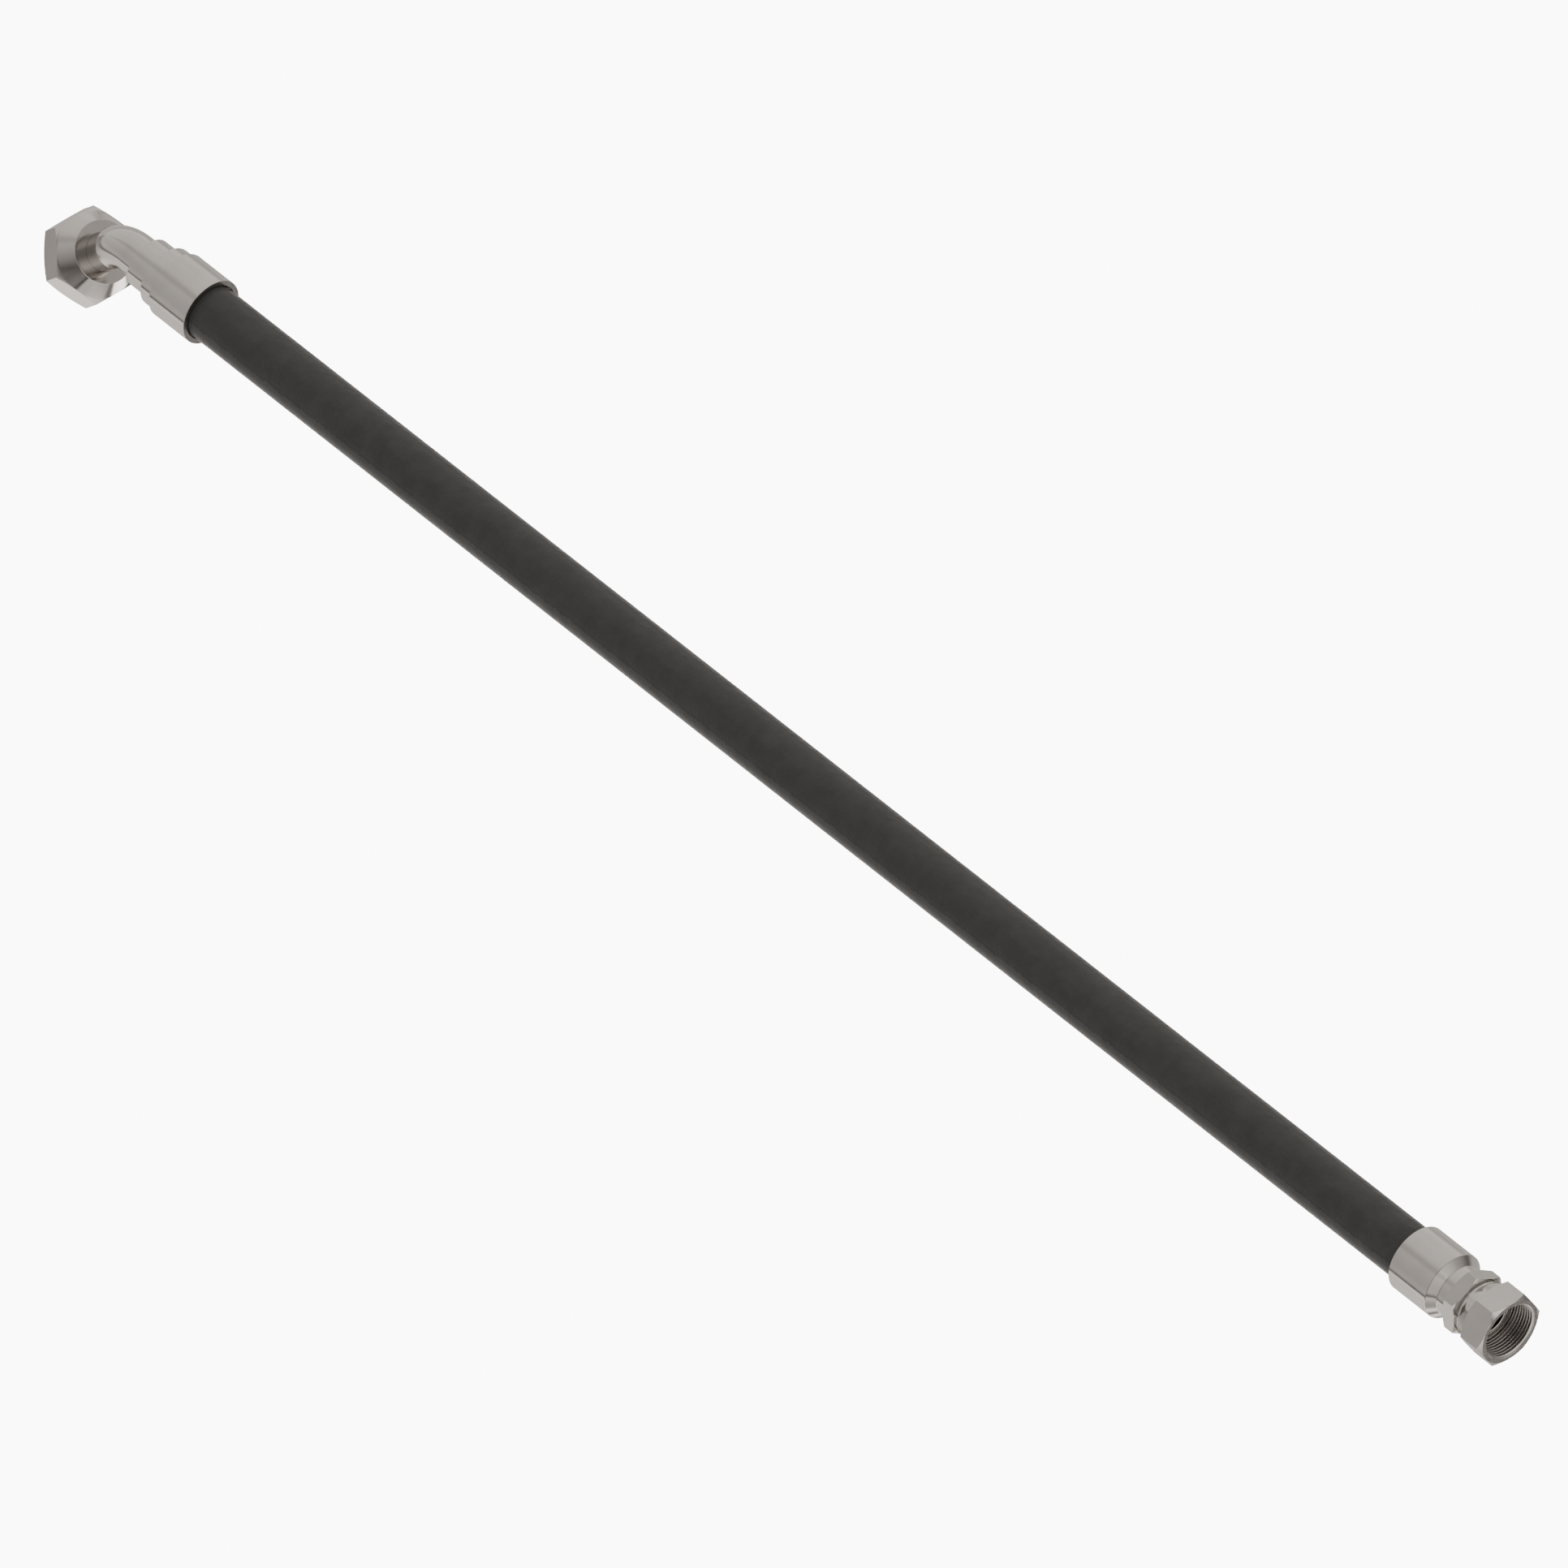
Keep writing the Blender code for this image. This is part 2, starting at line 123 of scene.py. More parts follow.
# Where the elbow ferrule's mouth lies on the floor frame, and how far the elbow rises
MOUTH_PLACE = Vector((-0.490671, 0.016119, 0.023228))
ELBOW_RISE = math.radians(11.107105)

BEND_TANGENT = BEND_RADIUS * math.tan(BEND_ANGLE / 2)
BEND_ARC = BEND_RADIUS * BEND_ANGLE
ELBOW_NUT_START = BEND_TANGENT + ELBOW_NECK_LENGTH

lying = Matrix.Translation(MOUTH_PLACE) @ Matrix.Rotation(-(math.pi / 2 + ELBOW_RISE), 4, 'X')
elbow_ferrule_frame = lying @ Matrix.Rotation(-math.pi / 2, 4, 'Y')
outlet_frame = (lying @ Matrix.Translation((-(BEND_START + BEND_TANGENT), 0.0, 0.0))
                @ Matrix.Rotation(-(math.pi / 2 + BEND_ANGLE), 4, 'Y'))
straight_frame = (lying @ Matrix.Translation((HOSE_VISIBLE, 0.0, 0.0))
                  @ Matrix.Rotation(math.pi / 2, 4, 'Y'))


# Camera: the photograph's long-lens view, on axes that turn with the lying part
VIEW_DISTANCE = 37.004
LENS = 1500.0
SENSOR = 36.0
right = (lying.to_3x3() @ Vector((0.6562, 0.7546, 0.0))).normalized()
up = lying.to_3x3() @ Vector((-0.5151, 0.4479, 0.7307))
up = (up - right * up.dot(right)).normalized()
back = right.cross(up)
aim = MOUTH_PLACE + right * 0.32450 - up * 0.26711
camera_data = bpy.data.cameras.new("camera")
camera_data.lens = LENS
camera_data.sensor_width = SENSOR
camera_data.sensor_height = SENSOR
camera_data.clip_start = 1.0
camera_data.clip_end = 100.0
camera = bpy.data.objects.new("camera", camera_data)
bpy.context.scene.collection.objects.link(camera)
camera.matrix_world = (Matrix.Translation(aim + back * VIEW_DISTANCE)
                       @ Matrix((right, up, back)).transposed().to_4x4())
bpy.context.scene.camera = camera


# Materials: the middle range of a noise is spread out. Scales are waves per metre.
NOISE_ROUGHNESS = 0.55
NOISE_RANGE = (0.3, 0.7)
CLOUD_SCALE = 60.0
GLOSS_SCALE = 400.0
GRAIN_SCALE = 1500.0
GRAIN_DEPTH = 0.000002
LATHE_MARKS = (40.0, 40.0, 3000.0)
TUBE_MARKS = (900.0, 900.0, 900.0)
TURNED_GLOSS = (0.12, 0.16)
THREAD_GLOSS = (0.30, 0.38)

# Two close greys of the plating, and of the rubber
STEEL_DARK = (0.598, 0.580, 0.560)
STEEL_LIGHT = (0.648, 0.629, 0.607)
RUBBER_DARK = (0.0884, 0.0888, 0.0896)
RUBBER_LIGHT = (0.1045, 0.1050, 0.1060)
RUBBER_GLOSS = (0.09, 0.14)


def node(tree, kind, **values):
    """Add a shader node and set its input sockets by name."""
    made = tree.nodes.new(kind)
    for name, value in values.items():
        made.inputs[name.replace("_", " ")].default_value = value
    return made


def noise(tree, vector, scale, detail, low, high):
    """Noise mapped to a range, as the output socket."""
    texture = node(tree, 'ShaderNodeTexNoise', Scale=scale, Detail=detail,
                   Roughness=NOISE_ROUGHNESS)
    tree.links.new(vector, texture.inputs["Vector"])
    spread = node(tree, 'ShaderNodeMapRange', From_Min=NOISE_RANGE[0], From_Max=NOISE_RANGE[1],
                  To_Min=low, To_Max=high)
    tree.links.new(texture.outputs["Fac"], spread.inputs["Value"])
    return spread.outputs["Result"]


def bump(tree, height, distance, strength, before=None):
    """A bump node over a height socket, chained after another one."""
    made = node(tree, 'ShaderNodeBump', Strength=strength, Distance=distance)
    tree.links.new(height, made.inputs["Height"])
    if before:
        tree.links.new(before, made.inputs["Normal"])
    return made.outputs["Normal"]


def start_material(name):
    """A material, its tree, its shader and the coordinates about a piece's own axis."""
    material = bpy.data.materials.new(name)
    material.use_nodes = True
    tree = material.node_tree
    shader = tree.nodes["Principled BSDF"]
    place = tree.nodes.new('ShaderNodeAttribute')
    place.attribute_name = AXIS_PLACE
    return material, tree, shader, place.outputs["Vector"]


def stretched(tree, place, scale):
    """Coordinates scaled by a vector."""
    mapping = tree.nodes.new('ShaderNodeMapping')
    mapping.inputs["Scale"].default_value = scale
    tree.links.new(place, mapping.inputs["Vector"])
    return mapping.outputs["Vector"]


def mixed(tree, shader, share, dark, light):
    """Base colour of a shader between two colours, by a share socket."""
    mix = tree.nodes.new('ShaderNodeMix')
    mix.data_type = 'RGBA'
    mix.inputs["A"].default_value = (*dark, 1.0)
    mix.inputs["B"].default_value = (*light, 1.0)
    tree.links.new(share, mix.inputs["Factor"])
    tree.links.new(mix.outputs["Result"], shader.inputs["Base Color"])


def steel_material(name, gloss, tool_marks, mark_depth):
    """Plated steel: two close greys in soft clouds, uneven gloss and fine tool marks."""
    material, tree, shader, place = start_material(name)
    shader.inputs["Metallic"].default_value = 1.0
    mixed(tree, shader, noise(tree, place, CLOUD_SCALE, 3.0, 0.0, 1.0), STEEL_DARK, STEEL_LIGHT)
    tree.links.new(noise(tree, place, GLOSS_SCALE, 2.0, *gloss), shader.inputs["Roughness"])
    marks = noise(tree, stretched(tree, place, tool_marks), 1.0, 2.0, 0.0, 1.0)
    fine = bump(tree, marks, mark_depth, 0.2)
    grain = noise(tree, place, GRAIN_SCALE, 1.0, 0.0, 1.0)
    tree.links.new(bump(tree, grain, GRAIN_DEPTH, 0.10, fine), shader.inputs["Normal"])
    return material


def rubber_material():
    """Black hose cover: satin rubber with the faint print of its curing wrap."""
    material, tree, shader, place = start_material("hose_cover_rubber")
    shader.inputs["Specular IOR Level"].default_value = 0.07
    mixed(tree, shader, noise(tree, place, 90.0, 4.0, 0.0, 1.0), RUBBER_DARK, RUBBER_LIGHT)
    tree.links.new(noise(tree, place, 300.0, 3.0, *RUBBER_GLOSS), shader.inputs["Roughness"])
    waves = noise(tree, stretched(tree, place, (70.0, 160.0, 160.0)), 1.0, 2.0, 0.0, 1.0)
    first = bump(tree, waves, 0.0004, 0.5)
    weave = noise(tree, stretched(tree, place, (1300.0, 700.0, 700.0)), 1.0, 1.0, 0.0, 1.0)
    tree.links.new(bump(tree, weave, 0.00001, 0.10, first), shader.inputs["Normal"])
    return material


turned_steel = steel_material("turned_steel", TURNED_GLOSS, LATHE_MARKS, 0.000003)
thread_steel = steel_material("cut_thread_steel", THREAD_GLOSS, LATHE_MARKS, 0.000002)
bent_steel = steel_material("bent_tube_steel", TURNED_GLOSS, TUBE_MARKS, 0.000001)
rubber = rubber_material()


def rounded(points, radius):
    """Round the corners of a closed loop of (length, radius) points."""
    loop = []
    count = len(points)
    for index, point in enumerate(points):
        here = Vector(point)
        before = Vector(points[index - 1]) - here
        after = Vector(points[(index + 1) % count]) - here
        if before.length < MERGE or after.length < MERGE:
            loop.append(point)
            continue
        cosine = before.normalized().dot(after.normalized())
        if cosine < STRAIGHT_COSINE:
            loop.append(point)
            continue
        reach = min(radius, before.length * FILLET_SHARE, after.length * FILLET_SHARE)
        start = here + before.normalized() * reach
        end = here + after.normalized() * reach
        for step in range(FILLET_STEPS + 1):
            t = step / FILLET_STEPS
            loop.append(tuple(start * (1 - t) ** 2 + here * 2 * t * (1 - t) + end * t * t))
    return loop


def straight_place(length, radius, angle):
    """A point about the straight local Z axis."""
    return (radius * math.cos(angle), radius * math.sin(angle), length)


def elbow_place(length, radius, angle):
    """A point about the elbow's centre line. Length runs along the outlet from the corner."""
    behind = BEND_TANGENT - length
    if behind <= 0.0:
        return straight_place(length, radius, angle)
    turn = min(behind, BEND_ARC) / BEND_RADIUS
    across = Vector((math.cos(turn), 0.0, -math.sin(turn)))
    centre = Vector((-BEND_RADIUS, 0.0, BEND_TANGENT)) + across * BEND_RADIUS
    if behind > BEND_ARC:
        centre -= Vector((math.sin(turn), 0.0, math.cos(turn))) * (behind - BEND_ARC)
    return (centre + across * radius * math.cos(angle)
            + Vector((0.0, radius * math.sin(angle), 0.0)))


def skin(name, loop_at, angles, place, matrix, material, body, cad_node, inner=None):
    """A closed skin through one loop of points at each angle, which stands for a CAD node.

    Inner names the first and last loop point of a stretch with a material of its own.
    """
    mesh = bpy.data.meshes.new(name)
    shape = bmesh.new()
    columns = [[shape.verts.new(place(length, radius, angle))
                for length, radius in loop_at(angle)] for angle in angles]
    for one, two in zip(columns, columns[1:]):
        for index in range(len(one)):
            other = (index + 1) % len(one)
            face = shape.faces.new((one[index], one[other], two[other], two[index]))
            if inner and inner[0] <= index < inner[1]:
                face.material_index = 1
    bmesh.ops.remove_doubles(shape, verts=shape.verts, dist=MERGE)
    bmesh.ops.dissolve_degenerate(shape, edges=shape.edges, dist=MERGE)
    bmesh.ops.recalc_face_normals(shape, faces=shape.faces)
    shape.to_mesh(mesh)
    shape.free()
    own = mesh.attributes.new(AXIS_PLACE, 'FLOAT_VECTOR', 'POINT')
    own.data.foreach_set("vector", [value for vert in mesh.vertices for value in vert.co])
    mesh.transform(matrix)
    mesh.shade_smooth()
    mesh.set_sharp_from_angle(angle=SHARP_ANGLE)
    mesh.materials.append(material)
    if inner:
        mesh.materials.append(inner[2])
    piece = bpy.data.objects.new(name, mesh)
    bpy.context.scene.collection.objects.link(piece)
    level = piece.modifiers.new("level", 'WEIGHTED_NORMAL')
    level.keep_sharp = True
    level.weight = 100
    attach(piece, body)
    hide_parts(cad_node)
    return piece


def even_angles(count):
    """Angles all the way round, with the first one again at the end."""
    return [2 * math.pi * step / count for step in range(count + 1)]


def corner_radius(flats):
    """Distance from the axis to a sharp corner of a hexagon."""
    return flats / 2 / math.cos(math.pi / 6)


def rounding_angle(flats):
    """Half of the angle that a rounded corner takes up, seen from the axis."""
    return math.atan2(CORNER_ROUNDING / 2, corner_radius(flats)
                      - CORNER_ROUNDING * math.tan(math.pi / 6) / 2)


def hex_radius(angle, flats, first_corner):
    """Distance from the axis to a hexagon with slightly rounded corners."""
    side = math.pi / 3
    off = (angle - first_corner + side / 2) % side - side / 2
    centre = corner_radius(flats) - CORNER_ROUNDING / math.sin(side)
    if abs(off) < rounding_angle(flats):
        return (centre * math.cos(off)
                + math.sqrt(CORNER_ROUNDING ** 2 - (centre * math.sin(off)) ** 2))
    return flats / 2 / math.cos(side / 2 - abs(off))


def hex_angles(flats, first_corner, between):
    """Angles round a hexagon: close together at its corners, even along its sides."""
    side = math.pi / 3
    tangent = rounding_angle(flats)
    angles = set()
    for corner in range(6):
        middle = first_corner + corner * side
        for part in (-1.0, -0.5, 0.0, 0.5, 1.0):
            angles.add(round((middle + part * tangent) % (2 * math.pi), 9))
        for step in range(1, between):
            along = middle + tangent + (side - 2 * tangent) * step / between
            angles.add(round(along % (2 * math.pi), 9))
    angles.add(0.0)
    return sorted(angles) + [2 * math.pi]


def thread_radius(length, angle, thread, start):
    """Radius of a right-hand thread's flank at this place."""
    phase = ((length - start) / PITCH - angle / (2 * math.pi) + 0.5) % 1.0 - 0.5
    rise = min(max((abs(phase) - HALF_CREST) / FLANK, 0.0), 1.0)
    return thread / 2 - THREAD_DEPTH * rise


def thread_turns(seat, front):
    """How many turns of points a column runs through, with spare ones past both ends."""
    return int((front - seat) / PITCH) + 2 * SPARE_TURNS


def thread_points(seat, front, thread, mouth, angle):
    """Points of one column down the thread, from the nut's front to its seat."""
    points = []
    for turn in range(thread_turns(seat, front) - SPARE_TURNS, -SPARE_TURNS, -1):
        for part in TURN_PARTS:
            length = seat + PITCH * (turn + part + angle / (2 * math.pi))
            length = min(max(length, seat), front)
            radius = thread_radius(length, angle, thread, seat)
            points.append((length, max(radius, mouth - MOUTH_SLOPE * (front - length))))
    return points


def nut_piece(name, sizes, hole, matrix, body):
    """A swivel nut: rear collar and cone, chamfered hexagon, cut thread and inner seat."""
    flats, thread, collar, collar_end, cone, corner_length, seat = sizes
    flat_start = collar_end + cone
    chamfer = (corner_radius(flats) - flats / 2) * math.tan(CHAMFER_ANGLE)
    front = flat_start + 2 * chamfer + corner_length
    mouth = thread / 2 + MOUTH_CHAMFER

    def loop_at(angle):
        edge = hex_radius(angle, flats, math.pi / 6)
        fall = (edge - flats / 2) * math.tan(CHAMFER_ANGLE)
        outer = [(0.0, hole), (0.0, collar - EDGE_RADIUS / 2), (EDGE_RADIUS / 2, collar),
                 (collar_end, collar), (flat_start, flats / 2), (flat_start + fall, edge),
                 (front - fall, edge), (front, flats / 2), (front, mouth)]
        return outer + thread_points(seat, front, thread, mouth, angle) + [(seat, hole)]

    count = len(loop_at(0.0))
    thread_start = count - 2 - len(TURN_PARTS) * thread_turns(seat, front)
    skin(name, loop_at, hex_angles(flats, math.pi / 6, FLAT_STEPS), straight_place, matrix,
         turned_steel, body, body, (thread_start, count - 2, thread_steel))


def head_points(seat, thread, bore):
    """Sealing head of a stem: flange, 24 degree cone, tip face with a groove, bore edge."""
    flange = thread / 2 - THREAD_DEPTH - HEAD_GAP
    nose = flange - NOSE_STEP
    tip = nose - NOSE_LENGTH * math.tan(NOSE_ANGLE)
    start = seat + FIT_GAP
    front = start + FLANGE_LENGTH
    end = front + NOSE_LENGTH
    middle = (tip + bore) / 2
    floor = end - GROOVE_DEPTH
    groove = GROOVE_HALF_WIDTH
    mouth = groove + GROOVE_EDGE
    return [(start, flange), (front, flange), (front, nose), (end, tip), (end, middle + mouth),
            (floor, middle + groove), (floor, middle - groove), (end, middle - mouth),
            (end, bore + BORE_CHAMFER), (end - BORE_CHAMFER, bore)]


def make_ferrules():
    """Both crimped ferrules, turned all over, with a recess at the mouth."""
    bore = TUBE_RADIUS + FIT_GAP
    grip_end = ELBOW_STEP_END - FERRULE_END_WALL
    elbow = rounded([
        (0.0, FERRULE_RADIUS), (ELBOW_BODY, FERRULE_RADIUS), (ELBOW_BODY, ELBOW_STEP_RADIUS),
        (ELBOW_STEP_END, ELBOW_STEP_RADIUS), (ELBOW_STEP_END, ELBOW_SLEEVE_RADIUS),
        (ELBOW_SLEEVE_END, ELBOW_SLEEVE_RADIUS), (ELBOW_SLEEVE_END, bore), (grip_end, bore),
        (grip_end, GRIP_RADIUS), (MOUTH_RELIEF, GRIP_RADIUS), (MOUTH_RELIEF, MOUTH_RADIUS),
        (0.0, MOUTH_RADIUS)], EDGE_RADIUS)
    skin("elbow_ferrule_turned", lambda angle: elbow, even_angles(TURNED_SIDES),
         straight_place, elbow_ferrule_frame, turned_steel, "hose_line", "elbow_ferrule")
    bore = NIPPLE_RADIUS + FIT_GAP
    straight = rounded([
        (0.0, FERRULE_RADIUS), (STRAIGHT_BODY, FERRULE_RADIUS),
        (STRAIGHT_NOSE_END, STRAIGHT_SLEEVE_RADIUS),
        (STRAIGHT_SLEEVE_END, STRAIGHT_SLEEVE_RADIUS), (STRAIGHT_SLEEVE_END, bore),
        (STRAIGHT_GRIP_END, bore), (STRAIGHT_GRIP_END, GRIP_RADIUS),
        (MOUTH_RELIEF, GRIP_RADIUS), (MOUTH_RELIEF, MOUTH_RADIUS), (0.0, MOUTH_RADIUS)],
        EDGE_RADIUS)
    skin("straight_ferrule_turned", lambda angle: straight, even_angles(TURNED_SIDES),
         straight_place, straight_frame, turned_steel, "hose_line", "straight_ferrule")


def make_straight_stem():
    """Straight stem: nipple, chamfered hexagon, neck and sealing head on one bore."""
    chamfer = math.tan(CHAMFER_ANGLE)
    seat = STRAIGHT_NUT_START + STRAIGHT_NUT[6]

    def loop_at(angle):
        edge = hex_radius(angle, STEM_HEX_FLATS, 0.0)
        fall = (edge - STEM_HEX_FLATS / 2) * chamfer
        flat = STEM_HEX_FLATS / 2
        return ([(NIPPLE_INSET, STRAIGHT_BORE_RADIUS), (NIPPLE_INSET, NIPPLE_RADIUS),
                 (STEM_HEX_START, NIPPLE_RADIUS), (STEM_HEX_START, flat),
                 (STEM_HEX_START + fall, edge), (STEM_HEX_END - fall, edge),
                 (STEM_HEX_END, flat), (STEM_HEX_END, SHOULDER_RADIUS),
                 (STRAIGHT_NUT_START - FIT_GAP, SHOULDER_RADIUS),
                 (STRAIGHT_NUT_START - FIT_GAP, STRAIGHT_NECK_RADIUS),
                 (seat + FIT_GAP, STRAIGHT_NECK_RADIUS)]
                + head_points(seat, STRAIGHT_NUT[1], STRAIGHT_BORE_RADIUS))

    return skin("straight_stem_turned", loop_at, hex_angles(STEM_HEX_FLATS, 0.0, FLAT_STEPS),
                straight_place, straight_frame, turned_steel, "hose_line", "straight_stem")


def make_elbow_stem():
    """Elbow stem: nipple, bent tube, thinner neck and sealing head on one bent bore."""
    seat = ELBOW_NUT_START + ELBOW_NUT[6]
    bend_back = BEND_TANGENT - BEND_ARC
    start = bend_back - (BEND_START - NIPPLE_INSET)
    tube_start = bend_back - (BEND_START - (ELBOW_STEP_END - FERRULE_END_WALL))
    arc = [bend_back + BEND_ARC * step / BEND_STEPS for step in range(BEND_STEPS + 1)]
    loop = ([(start, ELBOW_BORE_RADIUS), (start, NIPPLE_RADIUS), (tube_start, NIPPLE_RADIUS),
             (tube_start, TUBE_RADIUS)]
            + [(length, TUBE_RADIUS) for length in arc[:-1]]
            + [(BEND_TANGENT - EDGE_RADIUS, TUBE_RADIUS),
               (BEND_TANGENT, TUBE_RADIUS - EDGE_RADIUS), (BEND_TANGENT, ELBOW_NECK_RADIUS),
               (seat + FIT_GAP, ELBOW_NECK_RADIUS)]
            + head_points(seat, ELBOW_NUT[1], ELBOW_BORE_RADIUS)
            + [(length, ELBOW_BORE_RADIUS) for length in reversed(arc)])
    skin("elbow_stem_bent", lambda angle: loop, even_angles(TUBE_SIDES), elbow_place,
         outlet_frame, bent_steel, "hose_line", "elbow_stem")


def make_hose():
    """The hose cover from inside one ferrule to inside the other, and points along its centre
    line.
    """
    start = -HOSE_HIDDEN
    end = HOSE_VISIBLE + HOSE_HIDDEN
    stations = [start + (end - start) * step / HOSE_STEPS for step in range(HOSE_STEPS + 1)]
    outer = [(length, HOSE_RADIUS) for length in stations]
    loop = outer + [(end, HOSE_BORE_RADIUS), (start, HOSE_BORE_RADIUS)]
    matrix = lying @ Matrix.Rotation(math.pi / 2, 4, 'Y')
    piece = skin("hose_cover", lambda angle: loop, even_angles(TUBE_SIDES), straight_place, matrix,
                 rubber, "hose_line", "hose")
    path = [tuple(lying @ Vector((length, 0.0, 0.0))) for length in stations[::PATH_STRIDE]]
    return piece, path


hose, hose_path = make_hose()
make_ferrules()
straight_stem = make_straight_stem()
make_elbow_stem()
nut_piece("elbow_nut_threaded", ELBOW_NUT, ELBOW_NECK_RADIUS + RUNNING_GAP,
          outlet_frame @ Matrix.Translation((0.0, 0.0, ELBOW_NUT_START)), "elbow_nut")
nut_piece("straight_nut_threaded", STRAIGHT_NUT, STRAIGHT_NECK_RADIUS + FIT_GAP,
          straight_frame @ Matrix.Translation((0.0, 0.0, STRAIGHT_NUT_START)), "straight_nut")


FLOOR_HALF = 12.0
FLOOR_GLOW = 10.0


def make_floor():
    """A wide pale sheet that glows, so that it stays white, and that casts no light itself."""
    mesh = bpy.data.meshes.new("floor")
    mesh.from_pydata([(-FLOOR_HALF, -FLOOR_HALF, 0.0), (FLOOR_HALF, -FLOOR_HALF, 0.0),
                      (FLOOR_HALF, FLOOR_HALF, 0.0), (-FLOOR_HALF, FLOOR_HALF, 0.0)],
                     [], [(0, 1, 2, 3)])
    floor = bpy.data.objects.new("floor", mesh)
    bpy.context.scene.collection.objects.link(floor)
    material, _, shader, _ = start_material("pale_floor")
    shader.inputs["Base Color"].default_value = (0.80, 0.80, 0.80, 1.0)
    shader.inputs["Roughness"].default_value = 0.9
    shader.inputs["Specular IOR Level"].default_value = 0.0
    shader.inputs["Emission Color"].default_value = (1.0, 1.0, 1.0, 1.0)
    shader.inputs["Emission Strength"].default_value = FLOOR_GLOW
    mesh.materials.append(material)
    floor.visible_glossy = False
    floor.visible_diffuse = False
    floor.visible_shadow = False


# Studio light by direction: bands about the X axis, as the angle above the +Y horizon in degrees
SKY = [(-180, 1.15), (-160, 0.90), (-110, 1.00), (-94, 0.80), (-80, 1.50), (-58, 1.30),
       (-35, 1.29), (-22, 1.22), (-10, 1.20), (1, 1.16), (9, 1.00), (16, 0.77), (24, 0.78),
       (31, 0.96), (40, 0.94), (55, 0.85), (78, 0.79), (86, 0.84), (97, 0.95), (104, 0.78),
       (107, 0.10), (111, 0.10), (114, 1.90), (128, 1.45), (142, 1.52), (158, 1.38)]
SKY_PEAK = 2.0

# The same light grows or falls along X: below the horizon, above it, and past the dark line
LOW_SIDE = [(-1.0, 1.0), (-0.3, 1.0), (0.2, 0.9), (0.35, 0.28), (0.55, 0.35), (0.7, 0.60),
            (0.95, 1.5)]
HIGH_SIDE = [(-1.0, 1.25), (-0.55, 1.0), (-0.1, 0.55), (0.15, 0.22), (0.5, 0.5), (0.85, 1.4),
             (0.99, 0.45)]
FAR_SIDE = [(-1.0, 0.30), (-0.88, 0.45), (-0.55, 1.0), (-0.29, 1.6), (0.03, 1.7), (0.09, 0.25),
            (0.17, 0.25), (0.23, 1.8), (0.31, 1.8), (0.37, 0.45), (0.5, 0.55), (0.9, 1.4)]
SIDE_PEAK = 2.0
FAR_FROM = math.radians(109)

# A bright round panel low on the -Y side: its direction, the cosines of its edge, and its light
PANEL = Vector((0.24, -0.92, -0.31))
PANEL_EDGE = (0.968, 0.980)
PANEL_LIGHT = 5.0

# Colour of all the light: a warm white, with its strength
WARMTH = (0.687, 0.6476, 0.6107)


def math_node(tree, operation, first, second):
    """A math node over sockets or numbers, as its output socket."""
    made = tree.nodes.new('ShaderNodeMath')
    made.operation = operation
    for index, value in enumerate((first, second)):
        if isinstance(value, float):
            made.inputs[index].default_value = value
        else:
            tree.links.new(value, made.inputs[index])
    return made.outputs["Value"]


def ramp_node(tree, value, stops, low, high, peak):
    """A ramp through (place, light) stops over a range of values, as its output socket."""
    spread = node(tree, 'ShaderNodeMapRange', From_Min=low, From_Max=high)
    tree.links.new(value, spread.inputs["Value"])
    ramp = tree.nodes.new('ShaderNodeValToRGB')
    tree.links.new(spread.outputs["Result"], ramp.inputs["Fac"])
    elements = ramp.color_ramp.elements
    for index, (place, light) in enumerate(stops):
        spot = (place - low) / (high - low)
        stop = elements[index] if index < 2 else elements.new(spot)
        stop.position = spot
        stop.color = (light / peak, light / peak, light / peak, 1.0)
    return math_node(tree, 'MULTIPLY', ramp.outputs["Color"], peak)


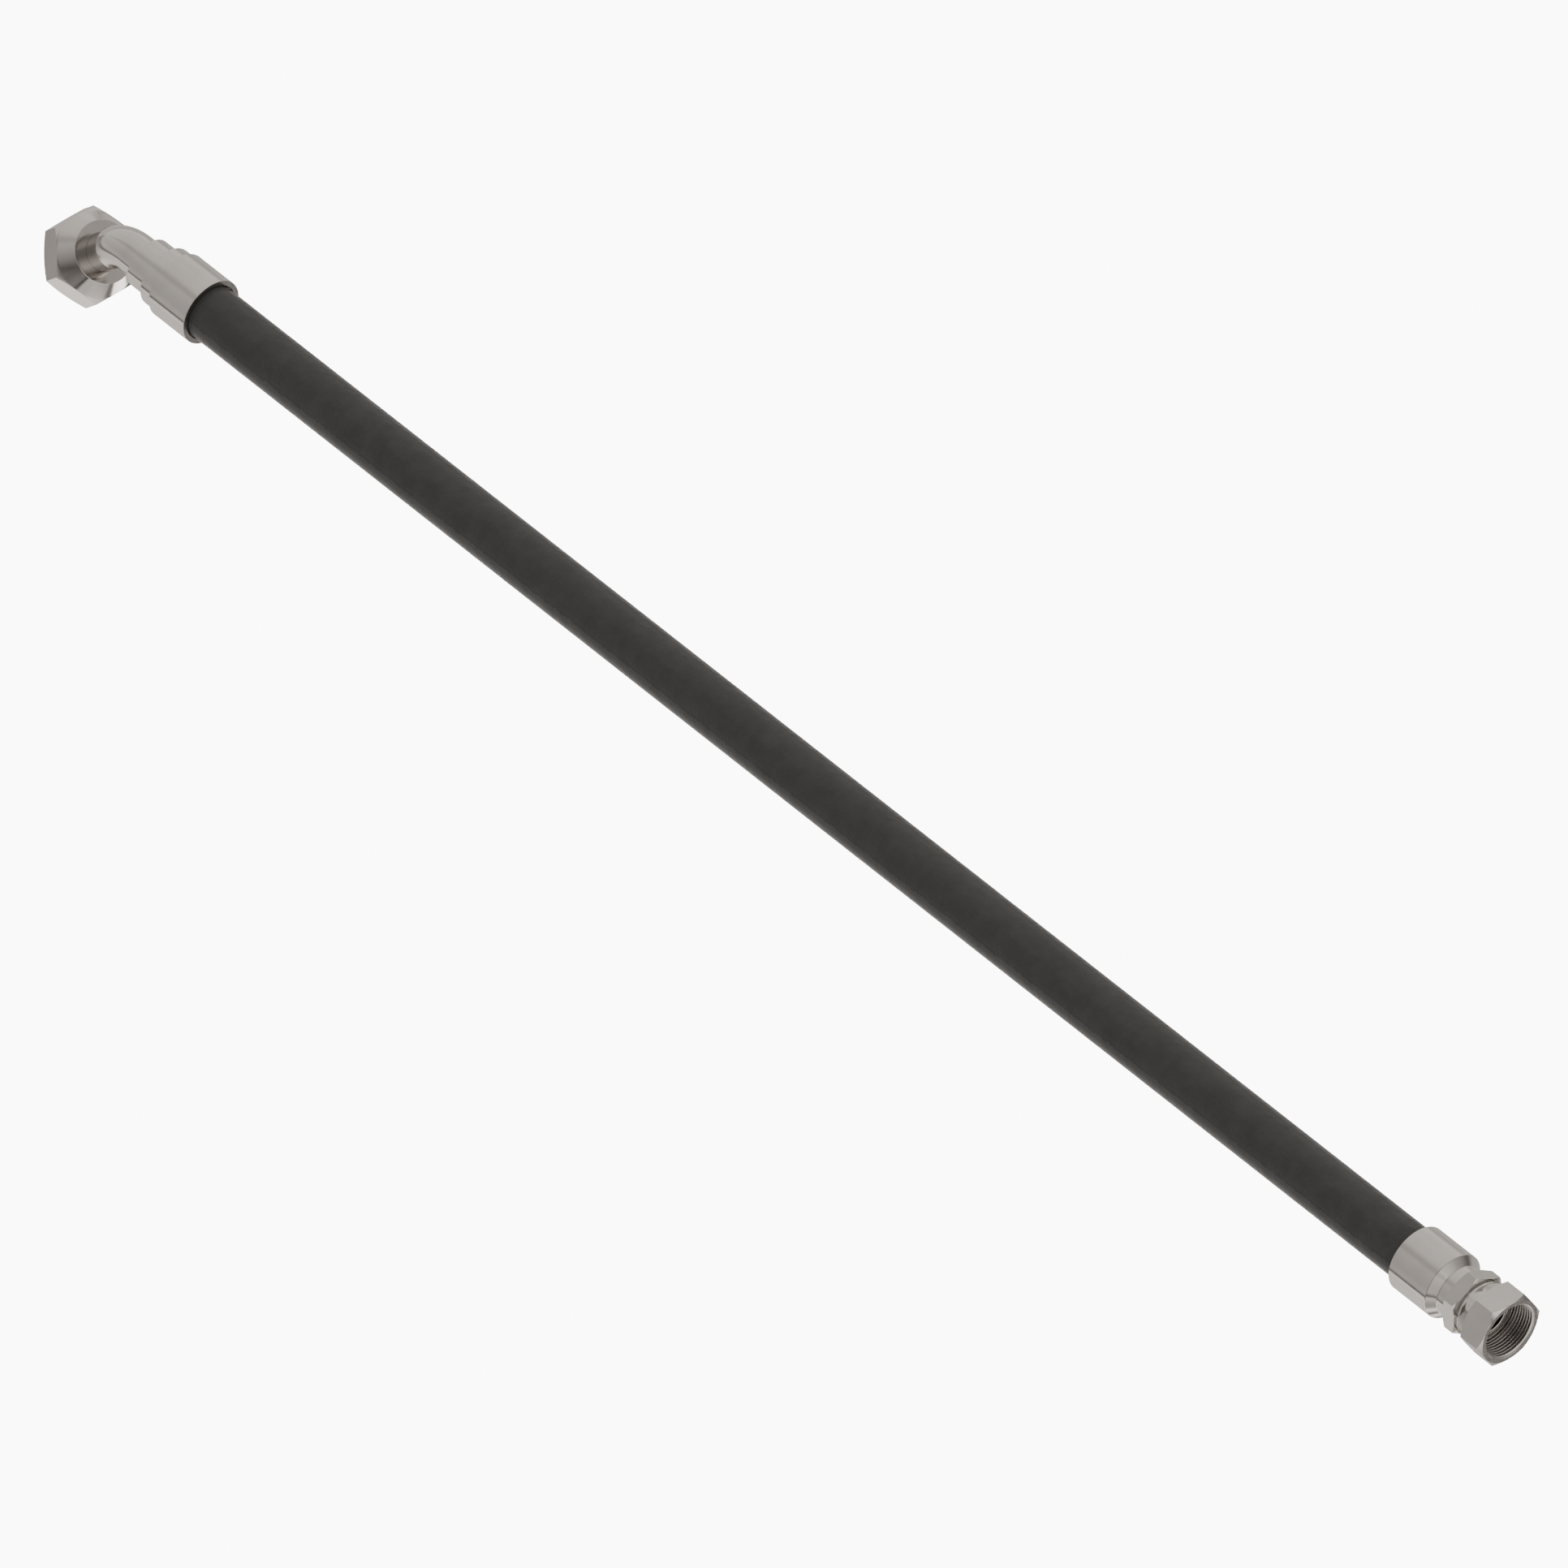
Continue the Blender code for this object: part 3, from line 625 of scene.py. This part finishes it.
def blend_node(tree, share, first, second):
    """Second where the share is one and first where it is nil, as an output socket."""
    keep = math_node(tree, 'SUBTRACT', 1.0, share)
    return math_node(tree, 'ADD', math_node(tree, 'MULTIPLY', keep, first),
                     math_node(tree, 'MULTIPLY', share, second))


def make_studio():
    """Light from the world alone: bands about X, side ramps along X, and the panel."""
    world = bpy.data.worlds.new("studio")
    bpy.context.scene.world = world
    world.use_nodes = True
    tree = world.node_tree
    background = tree.nodes["Background"]
    place = tree.nodes.new('ShaderNodeTexCoord').outputs["Generated"]
    parts = tree.nodes.new('ShaderNodeSeparateXYZ')
    tree.links.new(place, parts.inputs["Vector"])
    angle = math_node(tree, 'ARCTAN2', parts.outputs["Z"], parts.outputs["Y"])
    bands = ramp_node(tree, angle, [(math.radians(spot), light) for spot, light in SKY],
                      -math.pi, math.pi, SKY_PEAK)
    low = ramp_node(tree, parts.outputs["X"], LOW_SIDE, -1.0, 1.0, SIDE_PEAK)
    high = ramp_node(tree, parts.outputs["X"], HIGH_SIDE, -1.0, 1.0, SIDE_PEAK)
    far = ramp_node(tree, parts.outputs["X"], FAR_SIDE, -1.0, 1.0, SIDE_PEAK)
    above = math_node(tree, 'GREATER_THAN', parts.outputs["Z"], 0.0)
    past = math_node(tree, 'GREATER_THAN', angle, FAR_FROM)
    side = blend_node(tree, past, blend_node(tree, above, low, high), far)
    light = math_node(tree, 'MULTIPLY', bands, side)
    toward = tree.nodes.new('ShaderNodeVectorMath')
    toward.operation = 'DOT_PRODUCT'
    toward.inputs[1].default_value = PANEL.normalized()
    tree.links.new(place, toward.inputs[0])
    panel = node(tree, 'ShaderNodeMapRange', From_Min=PANEL_EDGE[0], From_Max=PANEL_EDGE[1],
                 To_Max=PANEL_LIGHT)
    tree.links.new(toward.outputs["Value"], panel.inputs["Value"])
    warm = tree.nodes.new('ShaderNodeVectorMath')
    warm.operation = 'SCALE'
    warm.inputs["Vector"].default_value = WARMTH
    tree.links.new(math_node(tree, 'ADD', light, panel.outputs["Result"]),
                   warm.inputs["Scale"])
    tree.links.new(warm.outputs["Vector"], background.inputs["Color"])


make_floor()
make_studio()
